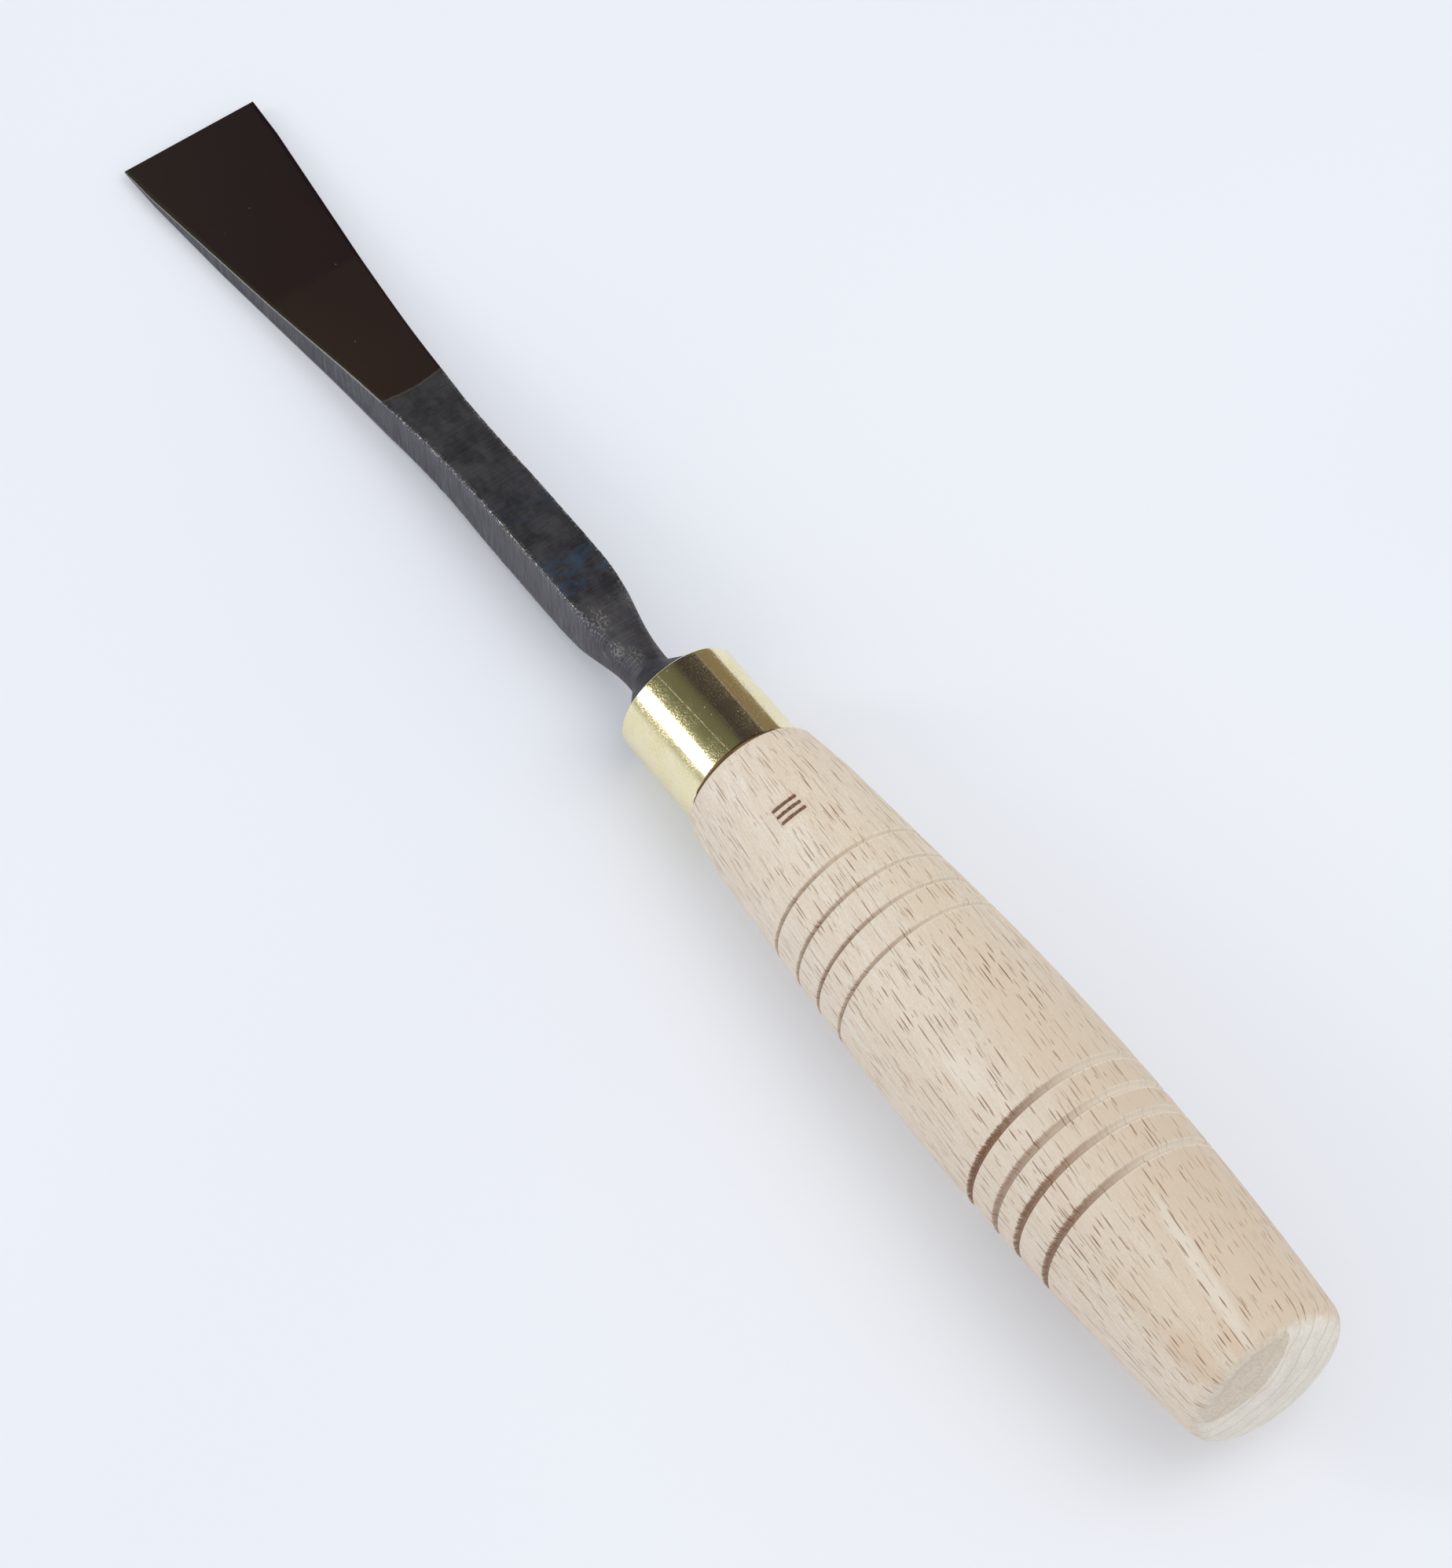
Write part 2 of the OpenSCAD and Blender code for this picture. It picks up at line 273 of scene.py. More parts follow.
# ---------------------------------------------------------------- shader helpers
class Shader:
    """Builds a material's node graph. Every method returns an output socket."""

    def __init__(self, name):
        self.material = bpy.data.materials.new(name)
        self.material.use_nodes = True
        self.tree = self.material.node_tree
        self.surface = self.tree.nodes["Principled BSDF"]
        place = self.tree.nodes.new("ShaderNodeTexCoord")
        self.normal = place.outputs["Normal"]
        self.place = self.vector("SCALE", place.outputs["Object"], scale=1.0 / MM)

    def plug(self, socket, value):
        if isinstance(value, bpy.types.NodeSocket):
            self.tree.links.new(value, socket)
        else:
            socket.default_value = value

    def add(self, kind, out, settings=None, **inputs):
        made = self.tree.nodes.new(kind)
        for key, value in (settings or {}).items():
            setattr(made, key, value)
        for key, value in inputs.items():
            self.plug(made.inputs[key.replace("_", " ")], value)
        return made.outputs[out]

    def math(self, operation, *values, clamp=False):
        made = self.tree.nodes.new("ShaderNodeMath")
        made.operation = operation
        made.use_clamp = clamp
        for socket, value in zip(made.inputs, values):
            self.plug(socket, value)
        return made.outputs[0]

    def times(self, first, *others):
        for other in others:
            first = self.math("MULTIPLY", first, other)
        return first

    def plus(self, first, *others):
        for other in others:
            first = self.math("ADD", first, other)
        return first

    def minus(self, first, second):
        return self.math("SUBTRACT", first, second)

    def squares(self, first, second):
        return self.plus(self.times(first, first), self.times(second, second))

    def vector(self, operation, first, second=None, scale=None):
        made = self.tree.nodes.new("ShaderNodeVectorMath")
        made.operation = operation
        self.plug(made.inputs[0], first)
        if second is not None:
            self.plug(made.inputs[1], second)
        if scale is not None:
            self.plug(made.inputs["Scale"], scale)
        return made.outputs["Vector"]

    def split(self, vector):
        made = self.tree.nodes.new("ShaderNodeSeparateXYZ")
        self.plug(made.inputs[0], vector)
        return made.outputs

    def join(self, x, y, z):
        made = self.tree.nodes.new("ShaderNodeCombineXYZ")
        for socket, value in zip(made.inputs, (x, y, z)):
            self.plug(socket, value)
        return made.outputs[0]

    def stretched(self, x, y, z, place=None):
        """The place divided by a feature's size along X, Y and Z in millimetres."""
        return self.vector("DIVIDE", place or self.place, (x, y, z))

    def noise(self, vector, detail=2.0, roughness=0.5):
        return self.add(
            "ShaderNodeTexNoise", "Fac",
            Vector=vector, Scale=1.0, Detail=detail, Roughness=roughness,
        )

    def shiver(self, vector, size):
        """Noise centred on zero, to make a line or an edge ragged."""
        return self.times(self.minus(self.noise(vector, 2.0), 0.5), size)

    def points(self, vector):
        """Outputs of a random 3-D pattern of cells, each with its own point and colour."""
        cells = self.tree.nodes.new("ShaderNodeTexVoronoi")
        cells.inputs["Scale"].default_value = 1.0
        self.plug(cells.inputs["Vector"], vector)
        return cells.outputs

    def band(self, value, low, high, to_low=0.0, to_high=1.0):
        """Maps low..high smoothly to to_low..to_high, held at both ends."""
        return self.add(
            "ShaderNodeMapRange", "Result", {"interpolation_type": "SMOOTHSTEP"},
            Value=value, From_Min=low, From_Max=high, To_Min=to_low, To_Max=to_high,
        )

    def mix(self, factor, first, second):
        made = self.tree.nodes.new("ShaderNodeMix")
        made.data_type = "RGBA"
        self.plug(made.inputs["Factor"], factor)
        self.plug(made.inputs["A"], first)
        self.plug(made.inputs["B"], second)
        return made.outputs["Result"]

    def layers(self, colour, *coats):
        """Lays (factor, colour) coats over a colour, one after another."""
        for factor, coat in coats:
            colour = self.mix(factor, colour, coat)
        return colour

    def blend(self, factor, first, second):
        made = self.tree.nodes.new("ShaderNodeMix")
        made.data_type = "FLOAT"
        self.plug(made.inputs[0], factor)
        self.plug(made.inputs[2], first)
        self.plug(made.inputs[3], second)
        return made.outputs[0]

    def spindles(self, place, cell, share, length, width):
        """Tapered strokes along X, one in each picked cell of a random 3-D pattern.

        place, cell and the stroke's half length and half width are in millimetres.
        """
        scaled = self.vector("DIVIDE", place, cell)
        cells = self.points(scaled)
        offset = self.vector("SUBTRACT", scaled, cells["Position"])
        x, y, z = self.split(self.vector("ABSOLUTE", self.vector("MULTIPLY", offset, cell)))
        pick, size, tone = self.split(cells["Color"])
        half = self.band(size, 0.0, 1.0, length * 0.45, length)
        run = self.math("DIVIDE", x, half)
        taper = self.math("SUBTRACT", 1.0, self.times(run, run), clamp=True)
        girth = self.times(taper, self.band(tone, 0.0, 1.0, width * 0.6, width))
        body = self.band(self.minus(y, girth), 0.035, -0.045)
        ends = self.band(z, cell[2] * 0.46, cell[2] * 0.36)
        chosen = self.math("LESS_THAN", pick, share)
        body = self.times(body, self.band(taper, 0.0, 0.2))
        return self.times(body, ends, chosen, self.band(tone, 0.0, 1.0, 0.55, 1.0))

    def bump(self, height, distance):
        """Relief from a height in 0..1 that stands for distance in millimetres."""
        made = self.tree.nodes.new("ShaderNodeBump")
        made.inputs["Distance"].default_value = distance * MM
        self.plug(made.inputs["Height"], height)
        return made.outputs[0]

    def attribute(self, name):
        return self.add("ShaderNodeAttribute", "Fac", {"attribute_name": name})

    def finish(self, **inputs):
        for key, value in inputs.items():
            self.plug(self.surface.inputs[key.replace("_", " ")], value)
        return self.material


# ---------------------------------------------------------------- handle mesh
def taper_radius(behind):
    """Radius of the wood in front of the belly: a straight taper that runs into an arc."""
    ahead = BELLY_AT - behind
    run = FRONT_R * math.sin(TAPER)
    arc_drop = FRONT_R - np.sqrt(FRONT_R**2 - np.clip(ahead, 0.0, run) ** 2)
    return BELLY_R - arc_drop - np.maximum(ahead - run, 0.0) * math.tan(TAPER)


def barrel_radius(behind):
    """Radius of the wood at a distance behind the ferrule, without grooves."""
    behind = np.asarray(behind, float)
    rear = REAR_R - np.sqrt(REAR_R**2 - np.maximum(behind - BELLY_AT, 0.0) ** 2)
    nose = NOSE_R + (taper_radius(NOSE_LEN) - NOSE_R) * behind / NOSE_LEN
    front = np.where(behind < NOSE_LEN, nose, taper_radius(behind))
    return np.where(behind > BELLY_AT, BELLY_R - rear, front)


def groove_cut(behind, turn):
    """Depth of the turned grooves; their lips wander a little, more on the ferrule side."""
    cut = np.zeros(np.broadcast(behind, turn).shape)
    sets = ((FRONT_GROOVES, FRONT_GROOVE_R), (REAR_GROOVES, REAR_GROOVE_R))
    for places, half in sets:
        for place in places:
            ragged = 0.10 * wander(turn * BELLY_R, 0.5, int(place * 10)) + 0.03
            across = (behind - place) / half
            reach = np.where(across < 0.0, 1.0 + ragged / half, 1.0)
            shape = 1.0 - np.clip(np.abs(across) / reach, 0.0, 1.0) ** 2.4
            cut = np.maximum(cut, GROOVE_DEPTH * shape)
    return cut


def burn_mask(x, arc_place):
    """One inside the three burned tally strokes; both places are in millimetres."""
    mask = np.zeros(np.broadcast(x, arc_place).shape)
    along = np.maximum(np.abs(arc_place) - (TALLY_LEN - TALLY_W) / 2.0, 0.0)
    for stroke in TALLY_STROKES:
        across = x - TALLY_X - stroke * TALLY_GAP
        inside = smoothstep(TALLY_W * 0.62, TALLY_W * 0.38, np.hypot(along, across))
        mask = np.maximum(mask, inside)
    return mask


def tang_half(behind):
    """Half width of the square tang at a distance behind its root."""
    return TANG_ROOT_HALF + (TANG_TIP_HALF - TANG_ROOT_HALF) * behind / TANG_LEN


def handle_profile():
    """The wood from the bottom of the tang's bore, over the tenon, to the rounded nose."""
    seat = MOUTH + SEAT
    step = TANG_LEN / 3.0
    radii = [tang_half(i * step) * math.sqrt(2.0) + TANG_FIT for i in range(3)]
    bottom = seat - TANG_LEN - BORE_SPARE
    inside = [
        (bottom, radii[2] * 0.3),
        (bottom, radii[2]),
        (seat - 2.0 * step, radii[2]),
        (seat - 2.0 * step, radii[1]),
        (seat - step, radii[1]),
        (seat - step, radii[0]),
        (seat, radii[0]),
    ]
    tenon_r = FERRULE_R - FERRULE_WALL - SEAT_GAP
    shoulder = MOUTH - FERRULE_LEN
    tenon = [(seat, tenon_r), (shoulder, tenon_r), (shoulder, FERRULE_R - REAR_RIM)]
    tenon += [(shoulder, NOSE_R - NOSE_ROUND - SEAT_GAP)]
    nose = arc((shoulder - NOSE_ROUND, NOSE_R - NOSE_ROUND), NOSE_ROUND, 0.0, 84.0, 12)[1:]
    return inside + tenon + nose


def dome_radius(corner_r):
    """Radius of the shallow dome that runs smoothly into the rounded corner."""
    rise = BUTT_DOME + BUTT_ROUND
    return (rise**2 + corner_r**2 - BUTT_ROUND**2) / (2.0 * BUTT_DOME)


def butt_profile():
    """The rounded corner and shallow dome behind the barrel, from outside to the axis."""
    corner_at = HANDLE_LEN - BUTT_DOME - BUTT_ROUND
    corner_r = float(barrel_radius(corner_at)) - BUTT_ROUND
    dome_r = dome_radius(corner_r)
    half = math.degrees(math.asin(corner_r / (dome_r - BUTT_ROUND)))
    back = HANDLE_LOW[0]
    rise = BUTT_DOME + BUTT_ROUND
    corner = arc((back + rise, corner_r), BUTT_ROUND, 90.0, 180.0 - half, 20)
    dome = arc((back + dome_r, 0.0), dome_r, 180.0 - half, 180.4, 44)[1:]
    return corner, [(x, max(r, 0.05)) for x, r in dome], corner_at, corner_r


def build_handle():
    corner, dome, corner_at, corner_r = butt_profile()
    fine = [np.arange(1.0, corner_at, 0.7)]
    for place in FRONT_GROOVES + REAR_GROOVES:
        fine.append(np.arange(place - GROOVE_SPAN, place + GROOVE_SPAN, 0.07))
    shoulder = MOUTH - FERRULE_LEN
    tally = shoulder - TALLY_X
    fine.append(np.arange(tally - TALLY_SPAN, tally + TALLY_SPAN, 0.1))
    behind = np.unique(np.round(np.concatenate(fine), 3))
    behind = behind[np.concatenate([[True], np.diff(behind) > 0.03])]
    front = handle_profile()
    barrel = list(zip(shoulder - behind, barrel_radius(behind)))
    rings = turned_rings(front + barrel + corner + dome, AROUND)
    turn = np.linspace(0.0, 2.0 * math.pi, AROUND, endpoint=False)
    radius = barrel_radius(behind)[:, None] - groove_cut(behind[:, None], turn[None, :])
    signed = (turn + math.pi) % (2.0 * math.pi) - math.pi
    arc_place = (signed - TALLY_TURN)[None, :] * TALLY_R
    radius -= TALLY_DEPTH * burn_mask((shoulder - behind)[:, None], arc_place)
    start = len(front)
    stop = start + len(behind)
    rings[start:stop, :, 1] = radius * np.sin(turn)
    rings[start:stop, :, 2] = radius * np.cos(turn)
    build = ring_bmesh(rings)
    sand_flat(build, shoulder, corner_at, corner_r)
    return make_piece("beech_handle", build, 35.0)


def butt_slope(behind, radius, corner_at, corner_r):
    """Angle between the butt's surface normal and the axis, in degrees, before sanding."""
    if behind < corner_at:
        return 90.0
    on_dome = math.degrees(math.atan2(radius, behind - HANDLE_LEN + dome_radius(corner_r)))
    on_corner = math.degrees(math.atan2(radius - corner_r, behind - corner_at))
    return max(on_dome, on_corner)


def sand_flat(build, shoulder, corner_at, corner_r):
    """Sands a shallow flat on the butt: a crisp edge on the dome, fading out over the corner."""
    ahead, out = math.cos(FLAT_LEAN), math.sin(FLAT_LEAN)
    lean = Vector((-ahead, out * math.sin(FLAT_TURN), out * math.cos(FLAT_TURN)))
    reach = corner_at * ahead + corner_r * out + BUTT_ROUND - FLAT_CUT
    point = Vector((shoulder, 0.0, 0.0)) + lean * reach
    geometry = build.verts[:] + build.edges[:] + build.faces[:]
    cut = bmesh.ops.bisect_plane(
        build, geom=geometry, dist=1e-7, plane_co=point * MM, plane_no=lean
    )

    def slope(place):
        off_axis = math.hypot(place.y, place.z)
        return butt_slope(shoulder - place.x, off_axis, corner_at, corner_r)

    for edge in cut["geom_cut"]:
        if isinstance(edge, bmesh.types.BMEdge) and slope(edge.verts[0].co / MM) < CRISP_SLOPE:
            edge.smooth = False
    flat = build.verts.layers.float.new("flat")
    for vert in build.verts:
        place = vert.co / MM
        height = (place - point).dot(lean)
        if height <= -0.001:
            continue
        angle = slope(place)
        keep = FLAT_KEEP + (1.0 - FLAT_KEEP) * float(smoothstep(10.0, 38.0, angle))
        vert[flat] = 1.0 - float(smoothstep(14.0, 78.0, angle))
        vert.co -= lean * max(height, 0.0) * (1.0 - keep) * MM


# ---------------------------------------------------------------- blade mesh
def plan_half(station):
    """Half width of the blade in plan."""
    tip_start = BLADE_LEN - TIP_LEN
    rise = FLARE_R * (1.0 - math.cos(FLARE_ANGLE))
    straight = tip_start - (TIP_HALF - SHANK_HALF - rise) / math.tan(FLARE_ANGLE)
    start = straight - FLARE_R * math.sin(FLARE_ANGLE)
    bend = FLARE_R - np.sqrt(FLARE_R**2 - np.clip(station - start, 0.0, straight - start) ** 2)
    slope = np.clip(station - straight, 0.0, tip_start - straight) * math.tan(FLARE_ANGLE)
    tip = np.clip((station - tip_start) / TIP_LEN, 0.0, 1.0) * (EDGE_HALF - TIP_HALF)
    neck = smoothstep(NECK_AT, SHANK_START, station)
    return NECK_R + (SHANK_HALF - NECK_R) * neck + bend + slope + tip


def top_height(station):
    """Height of the upper face."""
    t = np.clip((station - SHANK_END) / (BLADE_LEN - FLAT_LEN - SHANK_END), 0.0, 1.0)
    fall = 0.6 * t + 0.4 * t * t * (3.0 - 2.0 * t)
    neck = smoothstep(NECK_AT, SHANK_START - 2.0, station)
    rise = (SHANK_TOP - NECK_R + NECK_DROP) * neck
    return (NECK_R - NECK_DROP) + rise + (FLAT_Z - SHANK_TOP) * fall


def under_height(station):
    """Height of the underside: shank, waist, long taper and the bevel behind the edge."""
    stations = (SHANK_END, WAIST_START, WAIST_END, BLADE_LEN - BEVEL_LEN, BLADE_LEN)
    heights = (-SHANK_BOTTOM, -WAIST_DEPTH, -WAIST_DEPTH, -BEVEL_DEPTH, FLAT_Z - EDGE_T)
    spread = np.linspace(-3.0, 3.0, 7)[:, None]
    bevel_at = BLADE_LEN - BEVEL_LEN
    near_edge = smoothstep(bevel_at - 8.0, bevel_at - 3.0, station)
    exact = np.interp(station, stations, heights)
    soft = np.interp(station + spread, stations, heights).mean(axis=0)
    neck = smoothstep(NECK_AT, SHANK_START, station)
    body = exact * near_edge + soft * (1.0 - near_edge)
    return -(NECK_R + NECK_DROP) * (1.0 - neck) + body * neck


def section(half, top, bottom, corner):
    """Points (y, z) round a rounded rectangle, and how far each lies on a corner."""
    corner = min(corner, 0.48 * (top - bottom), 0.48 * half)
    points, edge = [], []
    centres = (
        (half - corner, top - corner, 90.0),
        (half - corner, bottom + corner, 0.0),
        (corner - half, bottom + corner, -90.0),
        (corner - half, top - corner, -180.0),
    )
    counts = (SIDE_POINTS, FACE_POINTS, SIDE_POINTS, FACE_POINTS)
    for number, (y, z, start) in enumerate(centres):
        turn = np.radians(start - np.linspace(0.0, 90.0, CORNER_POINTS + 1))
        bend = np.stack([y + corner * np.cos(turn), z + corner * np.sin(turn)], axis=1)
        following = centres[(number + 1) % 4]
        first = np.radians(following[2])
        outward = corner * math.cos(first), corner * math.sin(first)
        goal = np.array([following[0] + outward[0], following[1] + outward[1]])
        steps = np.linspace(0.0, 1.0, counts[number] + 1)[1:-1, None]
        line = bend[-1] + (goal - bend[-1]) * steps
        points += [bend, line]
        edge += [np.ones(len(bend)), np.zeros(len(line))]
    return np.vstack(points), np.concatenate(edge)


def axis_shift(station):
    """How far the neck lies off the tool's axis, as (y, z)."""
    off = smoothstep(BOLSTER_PROUD, NECK_AT, station)
    side = off * (1.0 - smoothstep(NECK_AT + 6.0, SHANK_START + 2.0, station))
    return np.array([NECK_SIDE * side, -NECK_DROP * off])


def tang_rings():
    """Square rings of the tang, from its tip to the bolster."""
    rings = []
    for behind in np.linspace(TANG_LEN, 0.0, 30):
        half = tang_half(behind)
        rings.append((SEAT - behind, section(half, half, -half, 0.3)[0]))
    return rings


def bolster_rings(circle):
    """Disc with softened rims, and the cone that runs softly into the neck."""
    front = BOLSTER_PROUD
    outline = [(SEAT, BOLSTER_R - 0.15), (SEAT + 0.15, BOLSTER_R), (front - 0.2, BOLSTER_R)]
    outline += [(front - 0.06, BOLSTER_R - 0.06), (front + 0.02, BOLSTER_R - 0.2)]
    slope = (BOLSTER_R - 0.3 - NECK_R) / (CONE_END - front)
    for x in np.linspace(front + 0.12, NECK_AT, 34)[:-1]:
        left = CONE_END - x
        soft = left + math.sqrt(left**2 + CONE_SOFT**2)
        outline.append((x, NECK_R + slope * 0.5 * soft - 0.1))
    return [(x, circle * r + axis_shift(x)) for x, r in outline]


def build_blade():
    """The whole forging in one skin: tang, bolster, neck, shank, flare and edge."""
    unit, edge = section(1.0, 1.0, -1.0, 0.3)
    turn = np.arctan2(unit[:, 1], unit[:, 0])
    circle = np.stack([np.cos(turn), np.sin(turn)], axis=1)
    stations = np.concatenate([
        np.arange(NECK_AT, GROUND_START, 0.3),
        np.arange(GROUND_START, BLADE_LEN - 1.0, 0.6),
        BLADE_LEN - np.array([1.0, 0.6, 0.3, 0.12, 0.04, 0.0]),
    ])
    rings = tang_rings() + bolster_rings(circle)
    shapes = zip(stations, plan_half(stations), top_height(stations), under_height(stations))
    for station, half, top, bottom in shapes:
        ground = float(smoothstep(GROUND_START, GROUND_END, station))
        neck = 1.0 - float(smoothstep(12.0, 25.0, station))
        corner = 0.45 * (1.0 - ground) + 0.12 * ground + 0.9 * neck
        squared = section(half, top, bottom, corner)[0]
        middle = np.array([0.0, (top + bottom) / 2.0])
        rounded = circle * np.array([half, (top - bottom) / 2.0]) + middle
        share = float(smoothstep(NECK_AT, 20.0, station))
        shift = np.array([axis_shift(station)[0], 0.0])
        rings.append((station, squared * share + rounded * (1.0 - share) + shift))
    xs = np.array([x for x, _ in rings])
    yz = hammer(xs, np.stack([points for _, points in rings]), circle, edge)
    along = np.broadcast_to(xs[:, None, None] + MOUTH, yz.shape[:2] + (1,))
    skin = ring_bmesh(np.concatenate([along, yz], axis=2))
    piece = make_piece("forged_blade", skin, 40.0)
    corner_share = edge[None, :] * smoothstep(10.0, 24.0, xs)[:, None]
    store(piece.data, "corner", corner_share.ravel())
    return piece


def hammer(xs, yz, circle, edge):
    """Lets the forged stretch wave a little, and chips its long edges."""
    forged = smoothstep(3.0, 8.0, xs) * (1.0 - smoothstep(64.0, 76.0, xs))
    neck = smoothstep(3.0, 8.0, xs) * (1.0 - smoothstep(20.0, 30.0, xs))
    count = yz.shape[1]
    wave = np.zeros(yz.shape[:2])
    for number in range(count):
        wave[:, number] = wander(xs + 37.0 * math.cos(number * 0.12), 6.0, 5 + number // 6, 2)
    kernel = np.ones(9) / 9.0
    wave = np.stack([
        np.convolve(np.tile(row, 3), kernel, "same")[count:2 * count] for row in wave
    ])
    depth = 0.05 * forged[:, None] * (wave - 1.0) + 0.14 * neck[:, None] * (wave - 1.0)
    chipped = np.zeros(yz.shape[:2])
    for number in np.flatnonzero(edge):
        nick = wander(xs, 0.8, 90 + number // (CORNER_POINTS + 1), 2)
        chipped[:, number] = 0.16 * np.maximum(nick - 0.25, 0.0) + 0.04 * (nick + 1.0)
    ridged = smoothstep(14.0, 24.0, xs) * (1.0 - smoothstep(66.0, 76.0, xs))
    depth -= ridged[:, None] * chipped
    return yz + circle[None] * depth[:, :, None]


def build_ferrule():
    """Thin tube with a small rounded rim in front and a larger one behind."""
    inner = FERRULE_R - FERRULE_WALL
    front, back = MOUTH, MOUTH - FERRULE_LEN
    profile = [(back + 0.05, inner)]
    profile += [(x, inner) for x in np.linspace(back + 0.4, front - 0.4, 20)]
    profile += [(front - 0.1, inner), (front, inner + 0.1)]
    profile += arc((front - FRONT_RIM, FERRULE_R - FRONT_RIM), FRONT_RIM, 0.0, 90.0, 8)
    lengthwise = np.linspace(front - FRONT_RIM - 0.5, back + REAR_RIM + 0.5, 60)
    profile += [(x, FERRULE_R) for x in lengthwise]
    profile += arc((back + REAR_RIM, FERRULE_R - REAR_RIM), REAR_RIM, 90.0, 180.0, 12)
    profile += [(back, inner + 0.05)]
    tube = ring_bmesh(turned_rings(profile, AROUND), loop=True)
    return make_piece("brass_ferrule", tube, 40.0)


# ---------------------------------------------------------------- colours, linear RGBA
CREAM_AND_SHEEN = (0.890, 0.825, 0.715, 1.0)
HONEY = (0.840, 0.722, 0.548, 1.0)
BROAD_STREAK = (0.780, 0.650, 0.500, 1.0)
PAINTED_SIDE_SHADE = (0.600, 0.445, 0.300, 1.0)
LATE_WOOD = (0.740, 0.570, 0.410, 1.0)
FINE_STREAK = (0.690, 0.540, 0.390, 1.0)
FIBRE = (0.670, 0.510, 0.365, 1.0)
MOTTLE = (0.650, 0.510, 0.385, 1.0)
RAY = (0.250, 0.115, 0.050, 1.0)
END_LIGHT = (0.865, 0.805, 0.700, 1.0)
END_DARK = (0.810, 0.735, 0.620, 1.0)
END_DUST = (0.600, 0.510, 0.405, 1.0)
END_RING = (0.600, 0.480, 0.370, 1.0)
END_CHECK = (0.420, 0.350, 0.280, 1.0)
SANDED = (0.600, 0.490, 0.365, 1.0)
CREASE_SHADE = (0.120, 0.065, 0.030, 1.0)
TORN_AND_SHADE = (0.230, 0.105, 0.050, 1.0)
SCORCH = (0.700, 0.480, 0.310, 1.0)
CHAR_DARK = (0.080, 0.030, 0.014, 1.0)
CHAR_LIGHT = (0.220, 0.105, 0.055, 1.0)
BRASS_PALE = (0.930, 0.850, 0.570, 1.0)
BRASS_DEEP = (0.910, 0.810, 0.500, 1.0)
BRASS_PIT = (0.560, 0.460, 0.230, 1.0)
RIM_SHADE_BROWN = (0.200, 0.125, 0.055, 1.0)
SCALE_DARK = (0.074, 0.070, 0.076, 1.0)
SCALE_LIGHT = (0.120, 0.114, 0.122, 1.0)
SCALE_SIDE = (0.050, 0.051, 0.068, 1.0)
LINE_LIGHT = (0.200, 0.192, 0.206, 1.0)
LINE_DARK = (0.050, 0.041, 0.036, 1.0)
TEMPER_BLUE = (0.095, 0.140, 0.215, 1.0)
PIT_BLACK = (0.050, 0.048, 0.052, 1.0)
RUBBED = (0.300, 0.290, 0.265, 1.0)
BARE_EDGE = (0.560, 0.545, 0.530, 1.0)
STRAW = (0.105, 0.088, 0.060, 1.0)
MIRROR_TIP = (0.425, 0.398, 0.395, 1.0)
MIRROR_ROOT = (0.470, 0.406, 0.392, 1.0)
SPECK = (0.600, 0.560, 0.540, 1.0)

# Corroded spots on the neck: station, Y, half length and half width.
NECK_SPOTS = ((17.0, 2.6, 2.6, 1.3), (11.8, 3.2, 2.0, 0.9), (8.8, 1.4, 1.8, 1.2))
# Cell depth of stroke patterns, in millimetres.
DEEP_CELL = 400.0
SCORE_TURN = 21.0
SCORE_DRIFT = 0.2
RIM_SHADE_TURN = 22.0
POLISH_BLUR = 0.35


